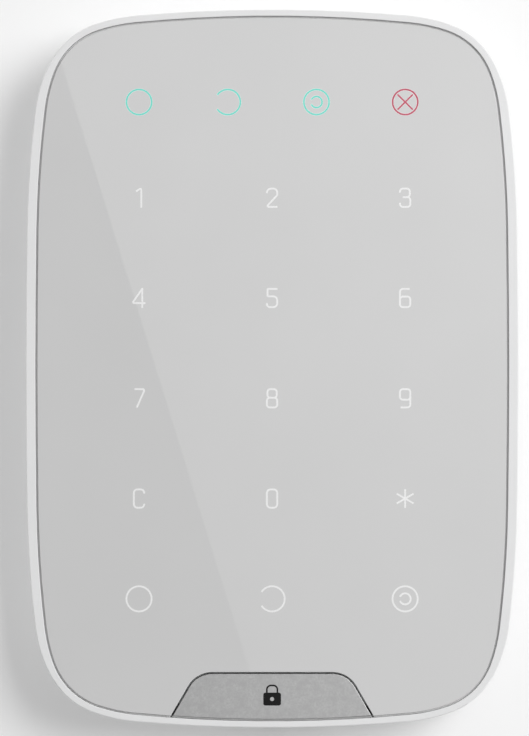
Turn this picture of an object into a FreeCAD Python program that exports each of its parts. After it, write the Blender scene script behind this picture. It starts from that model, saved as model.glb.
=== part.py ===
import FreeCAD, Part
import math
import os

import Sketcher

# Wall-mounted alarm keypad: a battery-powered touch keypad that hangs on a screwed-on bracket.
# Millimetres. +X is to the right as one faces the keypad, +Z is up, and the wall is the plane Y = 0.
# The keypad stands out from the wall towards -Y. "Depth" is the distance from the wall, so depth = -Y.

Vector = FreeCAD.Vector

SIZES = {
    # outside of the casing: a closed chain of tangent arcs, from the side over flank, shoulder,
    # corner and brow to the crown. A break is the normal's angle, in degrees, where two arcs meet.
    "case_half_width": 51.5,
    "case_side_r": 1790.0,
    "case_flank_r": 238.0,
    "case_shoulder_r": 29.7,
    "case_corner_r": 16.5,
    "case_brow_r": 35.5,
    "case_break_1": 0.92,
    "case_break_2": 6.97,
    "case_break_3": 27.7,
    "case_break_4": 70.8,
    "case_break_5": 85.0,
    # edge of the opening that the touch panel fills, drawn the same way
    "opening_half_width": 49.47,
    "opening_side_r": 1900.0,
    "opening_flank_r": 236.0,
    "opening_shoulder_r": 32.8,
    "opening_corner_r": 14.8,
    "opening_brow_r": 34.4,
    "opening_break_1": 0.88,
    "opening_break_2": 7.0,
    "opening_break_3": 20.5,
    "opening_break_4": 71.2,
    "opening_break_5": 84.5,
    # stack of layers, as depths from the wall
    "full_depth": 14.0,
    "panel_front": 13.85,
    "panel_back": 12.4,
    "seat_depth": 12.2,
    "board_front": 11.8,
    "board_back": 11.0,
    "parting_depth": 6.2,
    "floor_front": 3.7,
    "floor_back": 2.1,
    "housing_back": 0.5,
    "bracket_thick": 2.0,
    # casing walls
    "wall_thick": 1.6,
    "ledge_wide": 2.5,
    "panel_gap": 0.41,
    "panel_edge_r": 0.12,
    "flange_gap": 0.06,
    "flange_front": 13.3,
    "front_round": 0.25,
    "lip_bevel": 0.1,
    "seam_bevel": 0.18,
    "back_round": 3.0,
    "rim_inset": 1.75,
    "rim_tall": 1.2,
    "rim_thick": 0.85,
    "post_r": 1.6,
    "post_side_x": 42.0,
    "post_side_z": 27.0,
    "post_end_x": 26.0,
    "post_end_z": 62.0,
    # mounting bracket
    "bracket_half_width": 40.0,
    "bracket_half_height": 57.0,
    "bracket_corner_r": 6.0,
    "wall_hole_x": 32.0,
    "wall_hole_z": 50.0,
    "wall_hole_r": 2.1,
    "wall_hole_sink": 1.1,
    "recess_gap_x": 0.5,
    "recess_gap_z": 0.6,
    "hook_x": 33.0,
    "hook_wide": 6.0,
    "hook_thick": 2.0,
    "hook_rise": 7.0,
    "hook_upper_z": 38.0,
    "hook_lower_z": -34.0,
    "lip_back": 3.9,
    "lip_front": 5.1,
    "lift_travel": 8.0,
    "tongue_half_width": 8.0,
    "tab_low": -74.6,
    "tab_high": -72.8,
    "tab_front": 6.0,
    "tamper_disc_x": -31.0,
    "tamper_disc_z": 2.0,
    "tamper_slot_in": 7.0,
    "tamper_slot_out": 8.0,
    "tamper_hole_r": 1.75,
    "tamper_hole_drop": 3.0,
    # screw that holds the keypad down on the bracket
    "lock_screw_depth": 4.0,
    "lock_screw_r": 1.0,
    "lock_head_r": 1.8,
    "lock_head_low": -74.55,
    "lock_head_high": -73.45,
    "lock_screw_tip": -66.0,
    "lock_bore_r": 1.1,
    "lock_boss_half": 2.6,
    "lock_boss_over": 1.9,
    # AAA cells
    "cell_r": 5.25,
    "cell_long": 44.5,
    "cell_x": 13.9,
    "cell_depth": 6.55,
    "cell_nub_r": 1.9,
    "cell_nub_tall": 0.8,
    "cell_base": 1.0,
    "bay_half_width": 5.5,
    "bay_end": 49.6,
    "bay_wall": 1.1,
    "bay_front": 9.6,
    "bay_divider": 0.6,
    "cell_window_half": 4.9,
    "cell_groove_half": 3.6,
    "contact_half_width": 4.4,
    "contact_front": 9.4,
    "contact_thick": 0.4,
    # keys and marks
    "key_pitch_x": 27.8,
    "key_pitch_z": 20.95,
    "key_top_z": 35.7,
    "status_z": 55.69,
    "ring_r": 2.63,
    "small_ring_r": 1.16,
    "mark_stroke": 0.27,
    "icon_stroke": 0.35,
    "mark_thick": 0.3,
    # badge plate at the foot of the panel
    "badge_top": -63.77,
    "badge_half_top": 15.7,
    "badge_slope": 60.0,
    "badge_corner_r": 5.4,
    "badge_gap": 0.36,
    "badge_front": 13.8,
    "badge_edge_r": 0.15,
    "sign_z": -68.3,
    # push buttons
    "tamper_x": -31.0,
    "tamper_z": 5.5,
    "tamper_r": 1.5,
    "power_x": 0.0,
    "power_z": -57.0,
    "power_r": 2.5,
    "guide_gap": 0.1,
    "switch_half": 3.0,
    "switch_rise": 4.1,
    "switch_pin_tall": 0.3,
    # screws that join the two halves of the casing
    "case_screw_x": 44.6,
    "case_screw_z": 44.0,
    "case_boss_r": 2.6,
    "case_pilot_r": 1.15,
    "case_shank_r": 1.1,
    "case_shank_way_r": 1.3,
    "case_head_r": 2.0,
    "case_head_way_r": 2.3,
    "case_head_way": 2.5,
}


class Size:
    """A number together with the sheet expression that gives it.

    Geometry is drawn at .value and bound to .text, so that the drawing follows the sheet.
    """

    def __init__(self, value, text):
        self.value = value
        self.text = text

    def __add__(self, other):
        other = as_size(other)
        return Size(self.value + other.value, f"({self.text} + {other.text})")

    def __sub__(self, other):
        other = as_size(other)
        return Size(self.value - other.value, f"({self.text} - {other.text})")

    def __mul__(self, other):
        other = as_size(other)
        return Size(self.value * other.value, f"({self.text} * {other.text})")

    def __truediv__(self, other):
        other = as_size(other)
        return Size(self.value / other.value, f"({self.text} / {other.text})")

    def __neg__(self):
        return Size(-self.value, f"(0 - {self.text})")


def as_size(number):
    if isinstance(number, Size):
        return number
    return Size(float(number), f"({float(number):.6g})")


def size(alias):
    return Size(SIZES[alias], f"sizes.{alias}")


def cosine(angle):
    return Size(math.cos(math.radians(angle.value)), f"cos({angle.text})")


def sine(angle):
    return Size(math.sin(math.radians(angle.value)), f"sin({angle.text})")


def tangent(angle):
    return Size(math.tan(math.radians(angle.value)), f"tan({angle.text})")


doc = FreeCAD.newDocument("alarm_keypad")
sheet = doc.addObject("Spreadsheet::Sheet", "sizes")
for row, (alias, number) in enumerate(SIZES.items(), start=1):
    sheet.set(f"A{row}", alias)
    sheet.set(f"B{row}", str(number))
    sheet.setAlias(f"B{row}", alias)
doc.recompute()


# ---------------------------------------------------------------- sketches

def bind(target, path, length):
    target.setExpression(path, length.text)


def new_body(label):
    body = doc.addObject("PartDesign::Body", label)
    body.Label = label
    return body


def new_sketch(body, offset, plane="XZ_Plane"):
    """A sketch on one of the body's own origin planes. On XZ_Plane its offset is a depth."""
    sketch = body.newObject("Sketcher::SketchObject", f"{body.Label}_sketch")
    offset = as_size(offset)
    support = next(item for item in body.Origin.OriginFeatures if item.Role == plane)
    sketch.AttachmentSupport = [(support, "")]
    sketch.MapMode = "FlatFace"
    sketch.AttachmentOffset = FreeCAD.Placement(Vector(0, 0, offset.value), FreeCAD.Rotation())
    bind(sketch, "AttachmentOffset.Base.z", offset)
    return sketch


def dimension(sketch, kind, place, length):
    """Adds a driving dimension to a sketch and binds it. place is the geometry and point it acts on."""
    index = sketch.addConstraint(Sketcher.Constraint(kind, *place, length.value))
    bind(sketch, f"Constraints[{index}]", length)


def pin_point(sketch, geometry, point, x, z):
    dimension(sketch, "DistanceX", (geometry, point), as_size(x))
    dimension(sketch, "DistanceY", (geometry, point), as_size(z))


def close_chain(sketch, chain):
    """Joins the end of each piece of the chain to the start of the next, all the way round."""
    for this, following in zip(chain, chain[1:] + chain[:1]):
        sketch.addConstraint(Sketcher.Constraint("Coincident", this, 2, following, 1))


def add_circle(sketch, x, z, radius):
    x, z, radius = as_size(x), as_size(z), as_size(radius)
    circle = Part.Circle(Vector(x.value, z.value, 0), Vector(0, 0, 1), radius.value)
    index = sketch.addGeometry(circle)
    pin_point(sketch, index, 3, x, z)
    dimension(sketch, "Radius", (index,), radius)


def add_polygon(sketch, corners):
    corners = [(as_size(x), as_size(z)) for x, z in corners]
    points = [Vector(x.value, z.value, 0) for x, z in corners]
    chain = []
    for start, end in zip(points, points[1:] + points[:1]):
        chain.append(sketch.addGeometry(Part.LineSegment(start, end)))
    close_chain(sketch, chain)
    for index, (x, z) in zip(chain, corners):
        pin_point(sketch, index, 1, x, z)


def add_rectangle(sketch, x, z, half_width, half_height):
    x, z = as_size(x), as_size(z)
    left, right = x - half_width, x + half_width
    low, high = z - half_height, z + half_height
    add_polygon(sketch, [(left, low), (right, low), (right, high), (left, high)])


def add_arc_chain(sketch, joints, radii):
    """A closed chain of arcs. Each joint is (x, z, normal angle in degrees); arc k leaves joint k."""
    chain = []
    for (x, z, angle), (_, _, next_angle), radius in zip(joints, joints[1:] + joints[:1], radii):
        start = math.radians(angle)
        sweep = math.radians((next_angle - angle) % 360)
        inward = Vector(-math.cos(start), -math.sin(start), 0) * radius.value
        centre = Vector(x.value, z.value, 0) + inward
        circle = Part.Circle(centre, Vector(0, 0, 1), radius.value)
        chain.append(sketch.addGeometry(Part.ArcOfCircle(circle, start, start + sweep)))
    close_chain(sketch, chain)
    for index, (x, z, _), radius in zip(chain, joints, radii):
        pin_point(sketch, index, 1, x, z)
        dimension(sketch, "Radius", (index,), radius)


def quarter(name, inset):
    """Joints and radii of the upper right quarter of an outline, moved inwards by inset."""
    radii = [size(f"{name}_{part}_r") for part in ("side", "flank", "shoulder", "corner", "brow")]
    breaks = [size(f"{name}_break_{count}") for count in (1, 2, 3, 4, 5)]
    x = size(f"{name}_half_width") - radii[0]
    z = as_size(0)
    joints = []
    for radius, next_radius, angle in zip(radii, radii[1:] + [None], breaks):
        end_x = x + radius * cosine(angle)
        end_z = z + radius * sine(angle)
        joints.append((end_x - inset * cosine(angle), end_z - inset * sine(angle), angle))
        if next_radius:
            x = end_x - next_radius * cosine(angle)
            z = end_z - next_radius * sine(angle)
    crown = end_x / cosine(breaks[-1])
    return joints, [radius - inset for radius in radii + [crown]]


def add_outline(sketch, name, inset=0):
    """The whole outline: twenty tangent arcs, the quarter mirrored left to right and top to bottom."""
    inset = as_size(inset)
    joints, (side, *flank_to_crown) = quarter(name, inset)
    upper_right = [(x, z, angle.value) for x, z, angle in joints]
    upper_left = [(-x, z, 180 - angle) for x, z, angle in reversed(upper_right)]
    lower = [(-x, -z, 180 + angle) for x, z, angle in upper_right + upper_left]
    brow_to_flank = flank_to_crown[-2::-1]
    half_round = flank_to_crown + brow_to_flank + [side]
    add_arc_chain(sketch, upper_right + upper_left + lower, half_round + half_round)


def add_ring_slot(sketch, x, z, inner, outer, first, last):
    """A slot that follows a circle, from one angle to another, in degrees, with square ends."""
    ends = []
    for radius, angle in ((outer, first), (outer, last), (inner, last), (inner, first)):
        angle = as_size(angle)
        ends.append((x + radius * cosine(angle), z + radius * sine(angle)))
    centre = Vector(x.value, z.value, 0)
    turn = [math.radians(first), math.radians(last)]
    outside = Part.ArcOfCircle(Part.Circle(centre, Vector(0, 0, 1), outer.value), *turn)
    inside = Part.ArcOfCircle(Part.Circle(centre, Vector(0, 0, 1), inner.value), *turn)
    points = [Vector(px.value, pz.value, 0) for px, pz in ends]
    outside = sketch.addGeometry(outside)
    far_end = sketch.addGeometry(Part.LineSegment(points[1], points[2]))
    inside = sketch.addGeometry(inside)
    near_end = sketch.addGeometry(Part.LineSegment(points[3], points[0]))
    for first_part, first_point, second_part, second_point in (
        (outside, 2, far_end, 1),
        (far_end, 2, inside, 2),
        (inside, 1, near_end, 1),
        (near_end, 2, outside, 1),
    ):
        joint = Sketcher.Constraint("Coincident", first_part, first_point, second_part, second_point)
        sketch.addConstraint(joint)
    pin_point(sketch, outside, 1, *ends[0])
    pin_point(sketch, outside, 2, *ends[1])
    pin_point(sketch, inside, 2, *ends[2])
    pin_point(sketch, inside, 1, *ends[3])
    dimension(sketch, "Radius", (outside,), outer)
    dimension(sketch, "Radius", (inside,), inner)


# ---------------------------------------------------------------- features

def pad(body, sketch, length):
    feature = body.newObject("PartDesign::Pad", f"{body.Label}_pad")
    feature.Profile = sketch
    feature.Length = as_size(length).value
    bind(feature, "Length", as_size(length))
    return feature


def cut(body, sketch, length):
    """Cuts from the sketch plane along its normal, which is away from the wall on XZ_Plane."""
    feature = body.newObject("PartDesign::Pocket", f"{body.Label}_cut")
    feature.Profile = sketch
    feature.Reversed = True
    feature.Length = as_size(length).value
    bind(feature, "Length", as_size(length))
    return feature


def dress(body, kind, base, edges, amount):
    """Fillets or chamfers the named edges of a feature."""
    feature = body.newObject(f"PartDesign::{kind}", f"{body.Label}_{kind.lower()}")
    feature.Base = (base, edges)
    path = "Radius" if kind == "Fillet" else "Size"
    setattr(feature, path, amount.value)
    bind(feature, path, amount)
    return feature


def edges_where(feature, test):
    doc.recompute()
    edges = feature.Shape.Edges
    return [f"Edge{count}" for count, edge in enumerate(edges, start=1) if test(edge)]


def edges_at_depth(feature, depth, within=None):
    """Edges that lie at one depth, only those on the named outline where one is given."""
    def lies_there(edge):
        level = all(abs(v.Y + depth.value) < 1e-5 for v in edge.Vertexes)
        if not within:
            return level
        return level and all(on_quarter(within, abs(v.X), abs(v.Z)) for v in edge.Vertexes)

    return edges_where(feature, lies_there)


def on_quarter(name, x, z):
    """Whether a point is one of the joints of an outline's upper right quarter."""
    joints, _ = quarter(name, as_size(0))
    corners = [(joint_x.value, joint_z.value) for joint_x, joint_z, _ in joints]
    return any(math.hypot(x - corner_x, z - corner_z) < 1e-4 for corner_x, corner_z in corners)


def block(name, x, z, back, front, half_width, half_height):
    """A box between two depths, centred on x and z."""
    x, z, back, front = as_size(x), as_size(z), as_size(back), as_size(front)
    half_width, half_height = as_size(half_width), as_size(half_height)
    box = doc.addObject("Part::Box", name)
    for path, length in (("Length", half_width * 2), ("Width", front - back), ("Height", half_height * 2)):
        setattr(box, path, length.value)
        bind(box, path, length)
    place(box, x - half_width, -front, z - half_height)
    return box


def place(item, x, y, z):
    item.Placement.Base = Vector(x.value, y.value, z.value)
    for axis, length in (("x", x), ("y", y), ("z", z)):
        bind(item, f"Placement.Base.{axis}", length)


def rod(name, x, z, back, front, radius):
    """A cylinder whose axis runs straight out from the wall, between two depths."""
    x, z, back, front = as_size(x), as_size(z), as_size(back), as_size(front)
    radius = as_size(radius)
    cylinder = doc.addObject("Part::Cylinder", name)
    cylinder.Placement.Rotation = FreeCAD.Rotation(Vector(1, 0, 0), 90)
    for path, length in (("Radius", radius), ("Height", front - back)):
        setattr(cylinder, path, length.value)
        bind(cylinder, path, length)
    place(cylinder, x, -back, z)
    return cylinder


def fuse(name, pieces):
    joined = doc.addObject("Part::MultiFuse", name)
    joined.Shapes = pieces
    return joined


def subtract(name, base, tool):
    result = doc.addObject("Part::Cut", name)
    result.Base = base
    result.Tool = tool
    return result


def group(name, pieces):
    compound = doc.addObject("Part::Compound", name)
    compound.Links = pieces
    return compound


def shaped(name, shape):
    item = doc.addObject("Part::Feature", name)
    item.Shape = shape
    return item


def both_sides(x):
    return (x, -x)


# ---------------------------------------------------------------- bracket and its screw

def hook_places():
    for x in both_sides(size("hook_x")):
        for z in (size("hook_upper_z"), size("hook_lower_z")):
            yield x, z


def mounting_bracket():
    """Plate with four hooks, a break-out tamper disc and, at its foot, the tab for the locking screw."""
    body = new_body("mounting_bracket")
    thick = size("bracket_thick")
    half_height = size("bracket_half_height")
    tongue = size("tongue_half_width")
    low, high = size("tab_low"), size("tab_high")

    outline = new_sketch(body, 0)
    add_rectangle(outline, 0, 0, size("bracket_half_width"), half_height)
    plate = pad(body, outline, thick)
    corner_x = size("bracket_half_width").value

    def is_corner(edge):
        return edge.Length < 3 and all(abs(abs(v.X) - corner_x) < 1e-6 for v in edge.Vertexes)

    dress(body, "Fillet", plate, edges_where(plate, is_corner), size("bracket_corner_r"))

    foot = new_sketch(body, 0)
    foot_high = -half_height + 2
    add_rectangle(foot, 0, (low + foot_high) / 2, tongue, (foot_high - low) / 2)
    pad(body, foot, thick)
    tab = new_sketch(body, 0)
    add_rectangle(tab, 0, (low + high) / 2, tongue, (high - low) / 2)
    pad(body, tab, size("tab_front"))

    stems = new_sketch(body, thick - 0.5)
    lips = new_sketch(body, size("lip_back"))
    half_hook = size("hook_wide") / 2
    for x, z in hook_places():
        add_rectangle(stems, x, z - size("hook_thick") / 2, half_hook, size("hook_thick") / 2)
        middle = z + (size("hook_rise") - size("hook_thick")) / 2
        add_rectangle(lips, x, middle, half_hook, (size("hook_rise") + size("hook_thick")) / 2)
    pad(body, stems, size("lip_front") - thick + 0.5)
    pad(body, lips, size("lip_front") - size("lip_back"))

    grooves = new_sketch(body, thick / 2)
    for x in both_sides(size("cell_x")):
        add_rectangle(grooves, x, 0, size("cell_groove_half"), half_height - 3)
    cut(body, grooves, thick)

    holes = new_sketch(body, 0)
    for x in both_sides(size("wall_hole_x")):
        for z in both_sides(size("wall_hole_z")):
            add_circle(holes, x, z, size("wall_hole_r"))
    wall_holes = cut(body, holes, thick)

    def is_hole_front(edge):
        centre = edge.CenterOfMass
        on_front = abs(centre.y + thick.value) < 1e-5
        off_x = abs(centre.x) - SIZES["wall_hole_x"]
        off_z = abs(centre.z) - SIZES["wall_hole_z"]
        return on_front and math.hypot(off_x, off_z) < 0.1

    dress(body, "Chamfer", wall_holes, edges_where(wall_holes, is_hole_front), size("wall_hole_sink"))

    disc = new_sketch(body, 0)
    disc_x, disc_z = size("tamper_disc_x"), size("tamper_disc_z")
    slot_in, slot_out = size("tamper_slot_in"), size("tamper_slot_out")
    bridge, slots = 24, 4
    for count in range(slots):
        first = 360 / slots * count + bridge / 2
        add_ring_slot(disc, disc_x, disc_z, slot_in, slot_out, first, first + 360 / slots - bridge)
    add_circle(disc, disc_x, disc_z - size("tamper_hole_drop"), size("tamper_hole_r"))
    cut(body, disc, thick)

    over = 0.5
    screw_way = new_sketch(body, low - over, "XY_Plane")
    add_circle(screw_way, 0, -size("lock_screw_depth"), size("lock_bore_r"))
    cut(body, screw_way, high - low + over * 2)
    head_way = new_sketch(body, low - over, "XY_Plane")
    add_circle(head_way, 0, -size("lock_screw_depth"), size("lock_head_r") + 0.2)
    cut(body, head_way, size("lock_head_high") - low + over + 0.05)
    return body


def retaining_screw():
    """Pan-head screw that enters from below and stops the keypad from being lifted off."""
    body = new_body("retaining_screw")
    low, high = size("lock_head_low"), size("lock_head_high")
    head_r, shank_r = size("lock_head_r"), size("lock_screw_r")
    tip = size("lock_screw_tip")
    profile = new_sketch(body, 0)
    add_polygon(
        profile,
        [(0, low), (head_r - 0.35, low), (head_r, low + 0.35), (head_r, high), (shank_r, high),
         (shank_r, tip - 0.6), (shank_r - 0.6, tip), (0, tip)],
    )
    turned = body.newObject("PartDesign::Revolution", "retaining_screw_turned")
    turned.Profile = profile
    turned.ReferenceAxis = (profile, ["V_Axis"])
    turned.Angle = 360
    cross = new_sketch(body, low - 0.2, "XY_Plane")
    arm, half = head_r * 0.6, as_size(0.22)
    add_polygon(
        cross,
        [(-arm, -half), (-half, -half), (-half, -arm), (half, -arm), (half, -half), (arm, -half),
         (arm, half), (half, half), (half, arm), (-half, arm), (-half, half), (-arm, half)],
    )
    cut(body, cross, 0.9)
    place(body, as_size(0), -size("lock_screw_depth"), as_size(0))
    return body


# ---------------------------------------------------------------- casing

def case_screw_places():
    for x in both_sides(size("case_screw_x")):
        for z in both_sides(size("case_screw_z")):
            yield x, z


def front_frame():
    """White front half of the casing: a rounded rim with a ledge that carries the touch panel."""
    body = new_body("front_frame")
    full, seat, back = size("full_depth"), size("seat_depth"), size("board_back")
    parting = size("parting_depth")

    outside = new_sketch(body, parting)
    add_outline(outside, "case")
    shell = pad(body, outside, full - parting)
    rounded = dress(body, "Fillet", shell, edges_at_depth(shell, full), size("front_round"))
    dress(body, "Chamfer", rounded, edges_at_depth(rounded, parting), size("seam_bevel"))

    opening = new_sketch(body, seat)
    add_outline(opening, "opening")
    window = cut(body, opening, full - seat)
    mouth = edges_at_depth(window, full, within="opening")
    dress(body, "Chamfer", window, mouth, size("lip_bevel"))

    through = new_sketch(body, back - 0.5)
    add_outline(through, "opening", size("ledge_wide"))
    cut(body, through, seat - back + 1)
    inside = new_sketch(body, parting)
    add_outline(inside, "case", size("wall_thick"))
    cut(body, inside, back - parting)

    boss_back = parting + size("rim_tall") + 0.1
    bosses = new_sketch(body, boss_back)
    ribs = new_sketch(body, boss_back)
    pilots = new_sketch(body, boss_back)
    for x, z in case_screw_places():
        add_circle(bosses, x, z, size("case_boss_r"))
        reach = 3 if x.value > 0 else -3
        add_rectangle(ribs, x + reach, z, size("case_boss_r"), size("wall_thick") / 2)
        add_circle(pilots, x, z, size("case_pilot_r"))
    pad(body, bosses, back - boss_back)
    pad(body, ribs, back - boss_back)
    cut(body, pilots, back - boss_back - 0.3)
    return body


def rear_housing():
    """White rear half of the casing: battery bays in front, a recess for the bracket behind."""
    body = new_body("rear_housing")
    back, parting = size("housing_back"), size("parting_depth")
    floor_back, floor_front = size("floor_back"), size("floor_front")
    rim_top = parting + size("rim_tall")
    tab_clear = size("tab_high") + 0.3
    tongue_way = size("tongue_half_width") + 0.6
    travel = size("lift_travel")

    outside = new_sketch(body, back)
    add_outline(outside, "case")
    shell = pad(body, outside, parting - back)
    rounded = dress(body, "Fillet", shell, edges_at_depth(shell, back), size("back_round"))
    dress(body, "Chamfer", rounded, edges_at_depth(rounded, parting), size("seam_bevel"))
    rim = new_sketch(body, parting)
    add_outline(rim, "case", size("rim_inset"))
    pad(body, rim, size("rim_tall"))
    inside = new_sketch(body, floor_front)
    add_outline(inside, "case", size("rim_inset") + size("rim_thick"))
    cut(body, inside, rim_top - floor_front)

    recess = new_sketch(body, back)
    recess_top = size("bracket_half_height") + size("recess_gap_z")
    recess_foot = recess_top + travel
    recess_side = size("bracket_half_width") + size("recess_gap_x")
    add_rectangle(recess, 0, -travel / 2, recess_side, (recess_top + recess_foot) / 2)
    bracket_way = cut(body, recess, floor_back - back)

    def is_recess_corner(edge):
        return edge.Length < 2 and all(abs(abs(v.X) - recess_side.value) < 1e-6 for v in edge.Vertexes)

    recess_corners = edges_where(bracket_way, is_recess_corner)
    dress(body, "Fillet", bracket_way, recess_corners, size("bracket_corner_r") - 1)

    bays = new_sketch(body, floor_front - 0.5)
    bay, bay_end, bay_wall = size("bay_half_width"), size("bay_end"), size("bay_wall")
    half_divider = size("bay_divider")
    for x in both_sides(size("cell_x")):
        add_rectangle(bays, x, 0, bay + bay_wall, bay_end + bay_wall)
        for z in both_sides((bay_end + half_divider) / 2):
            add_rectangle(bays, x, z, bay, (bay_end - half_divider) / 2)
    pad(body, bays, size("bay_front") - floor_front + 0.5)

    windows = new_sketch(body, floor_back - 0.5)
    window_long = size("cell_long") + 0.6
    for x in both_sides(size("cell_x")):
        for z in both_sides(size("cell_base") + size("cell_long") / 2):
            add_rectangle(windows, x, z, size("cell_window_half"), window_long / 2)
    cut(body, windows, floor_front - floor_back + 1)

    notch_wall = new_sketch(body, floor_back)
    add_rectangle(notch_wall, 0, tab_clear + 0.2, tongue_way + size("wall_thick"), 1.4)
    pad(body, notch_wall, parting - floor_back)
    lock_boss = new_sketch(body, floor_front - 0.5)
    boss_low, boss_high = tab_clear + 1, size("lock_screw_tip") + 2
    boss_middle = (boss_low + boss_high) / 2
    add_rectangle(lock_boss, 0, boss_middle, size("lock_boss_half"), (boss_high - boss_low) / 2)
    pad(body, lock_boss, size("lock_screw_depth") + size("lock_boss_over") - floor_front + 0.5)
    foot = size("case_half_width") * 1.5
    notch = new_sketch(body, 0)
    add_rectangle(notch, 0, (tab_clear - foot) / 2, tongue_way, (foot + tab_clear) / 2)
    cut(body, notch, parting)
    channel = new_sketch(body, 0)
    channel_high = -recess_foot + 1
    add_rectangle(channel, 0, (channel_high - foot) / 2, tongue_way, (channel_high + foot) / 2)
    cut(body, channel, floor_back)
    lock_bore = new_sketch(body, tab_clear - 0.5, "XY_Plane")
    add_circle(lock_bore, 0, -size("lock_screw_depth"), size("lock_bore_r"))
    cut(body, lock_bore, size("lock_screw_tip") - tab_clear + 1.5)

    slots = new_sketch(body, floor_back - 0.5)
    slot_tall = size("hook_rise") + size("hook_thick") + 1.4
    for x, z in hook_places():
        add_rectangle(slots, x, z + 0.15 - slot_tall / 2, size("hook_wide") / 2 + 0.3, slot_tall / 2)
    add_circle(slots, size("tamper_x"), size("tamper_z"), size("tamper_r") + size("guide_gap"))
    add_circle(slots, size("power_x"), size("power_z"), size("power_r") + size("guide_gap"))
    cut(body, slots, floor_front - floor_back + 1)

    bosses = new_sketch(body, floor_front - 0.5)
    shanks = new_sketch(body, back - 0.5)
    heads = new_sketch(body, back - 0.5)
    for x, z in case_screw_places():
        add_circle(bosses, x, z, size("case_boss_r"))
        add_circle(shanks, x, z, size("case_shank_way_r"))
        add_circle(heads, x, z, size("case_head_way_r"))
    pad(body, bosses, rim_top - floor_front + 0.5)
    cut(body, shanks, rim_top - back + 1)
    cut(body, heads, size("case_head_way"))

    posts = new_sketch(body, floor_front - 0.5)
    for place_name in ("side", "end"):
        for x in both_sides(size(f"post_{place_name}_x")):
            for z in both_sides(size(f"post_{place_name}_z")):
                add_circle(posts, x, z, size("post_r"))
    pad(body, posts, size("board_back") - floor_front + 0.5)
    return body


def case_screws():
    """Four self-tapping screws from behind, heads sunk in the rear housing."""
    back, shank_r = size("housing_back"), size("case_shank_r")
    arm, half = size("case_shank_way_r"), 0.2
    screws = []
    for x, z in case_screw_places():
        head = rod("case_screw_head", x, z, back + 0.8, back + 2, size("case_head_r"))
        shank = rod("case_screw_shank", x, z, back + 1.9, size("board_back") - 0.6, shank_r)
        slot = block("case_screw_slot", x, z, back + 0.3, back + 1.3, arm, half)
        cross = block("case_screw_cross", x, z, back + 0.3, back + 1.3, half, arm)
        drive = fuse("case_screw_drive", [slot, cross])
        screws.append(subtract("case_screw", fuse("case_screw_blank", [head, shank]), drive))
    return group("case_screws", screws)


# ---------------------------------------------------------------- marks: strokes cut into the panel

def stroke_elements(points, corners, closed):
    """Centre line through points with rounded corners, as lines (start, end) and arcs with a centre."""
    count = len(points)
    legs = []
    for index in range(count if closed else count - 1):
        legs.append([points[index], points[(index + 1) % count]])
    bends = []
    for index in range(count if closed else count - 2):
        before, after = legs[index], legs[(index + 1) % len(legs)]
        inward = (before[1] - before[0]).normalize()
        outward = (after[1] - after[0]).normalize()
        corner = corners[index]
        reach = corner * math.tan(inward.getAngle(outward) / 2)
        side = 1 if inward.cross(outward).z > 0 else -1
        start = before[1] - inward * reach
        end = before[1] + outward * reach
        centre = start + Vector(-inward.y, inward.x, 0) * (side * corner)
        bends.append((start, end, centre, side))
    elements = []
    for index, leg in enumerate(legs):
        bend_before = bends[index - 1] if closed or index > 0 else None
        bend_after = bends[index] if index < len(bends) else None
        start = bend_before[1] if bend_before else leg[0]
        end = bend_after[0] if bend_after else leg[1]
        if (end - start).Length > 1e-6:
            elements.append((start, end, None, 0))
        if bend_after:
            elements.append(bend_after)
    return elements


def beside(element, distance):
    """One element of a centre line moved sideways, to its left by distance."""
    start, end, centre, side = element
    if centre is None:
        along = (end - start).normalize()
        shift = Vector(-along.y, along.x, 0) * distance
        return Part.LineSegment(start + shift, end + shift).toShape()
    radius = (start - centre).Length
    scale = (radius - side * distance) / radius
    first, last = centre + (start - centre) * scale, centre + (end - centre) * scale
    middle = (first + last) * 0.5 - centre
    return Part.Arc(first, centre + middle.normalize() * radius * scale, last).toShape()


def stroke_face(points, corner=0.5, closed=False, stroke="mark_stroke"):
    """A flat stroke that follows points (x, z), with one corner radius or a list of them, a bend each."""
    half = SIZES[stroke] / 2
    corners = corner if isinstance(corner, list) else [corner] * len(points)
    elements = stroke_elements([Vector(x, z, 0) for x, z in points], corners, closed)
    left = [beside(element, half) for element in elements]
    right = [beside(element, -half) for element in elements]
    if closed:
        return ring_face(Part.Wire(left), Part.Wire(right))
    caps = [end_cap(left[end], right[end], end) for end in (0, -1)]
    return Part.Face(Part.Wire(Part.__sortEdges__(left + right + caps)))


def end_cap(one, other, end):
    """Straight edge between the first or the last points of two edges."""
    return Part.LineSegment(one.Vertexes[end].Point, other.Vertexes[end].Point).toShape()


def ring_face(one, other):
    """The area between two closed wires, whichever is the outer one."""
    faces = sorted((Part.Face(one), Part.Face(other)), key=lambda face: face.Area)
    return faces[1].cut(faces[0])


def circle_face(radius, stroke="mark_stroke"):
    half = SIZES[stroke] / 2
    outer = Part.Circle(Vector(0, 0, 0), Vector(0, 0, 1), radius + half)
    inner = Part.Circle(Vector(0, 0, 0), Vector(0, 0, 1), radius - half)
    return ring_face(Part.Wire(outer.toShape()), Part.Wire(inner.toShape()))


def broken_ring_face(radius, half_gap, stroke="mark_stroke"):
    """A ring with an opening on its left, half_gap degrees to each side."""
    half = SIZES[stroke] / 2
    first, last = math.radians(half_gap - 180), math.radians(180 - half_gap)
    edges = []
    for arc_radius in (radius + half, radius - half):
        circle = Part.Circle(Vector(0, 0, 0), Vector(0, 0, 1), arc_radius)
        edges.append(Part.ArcOfCircle(circle, first, last).toShape())
    caps = [end_cap(*edges, end) for end in (0, -1)]
    return Part.Face(Part.Wire(Part.__sortEdges__(edges + caps)))


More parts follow.
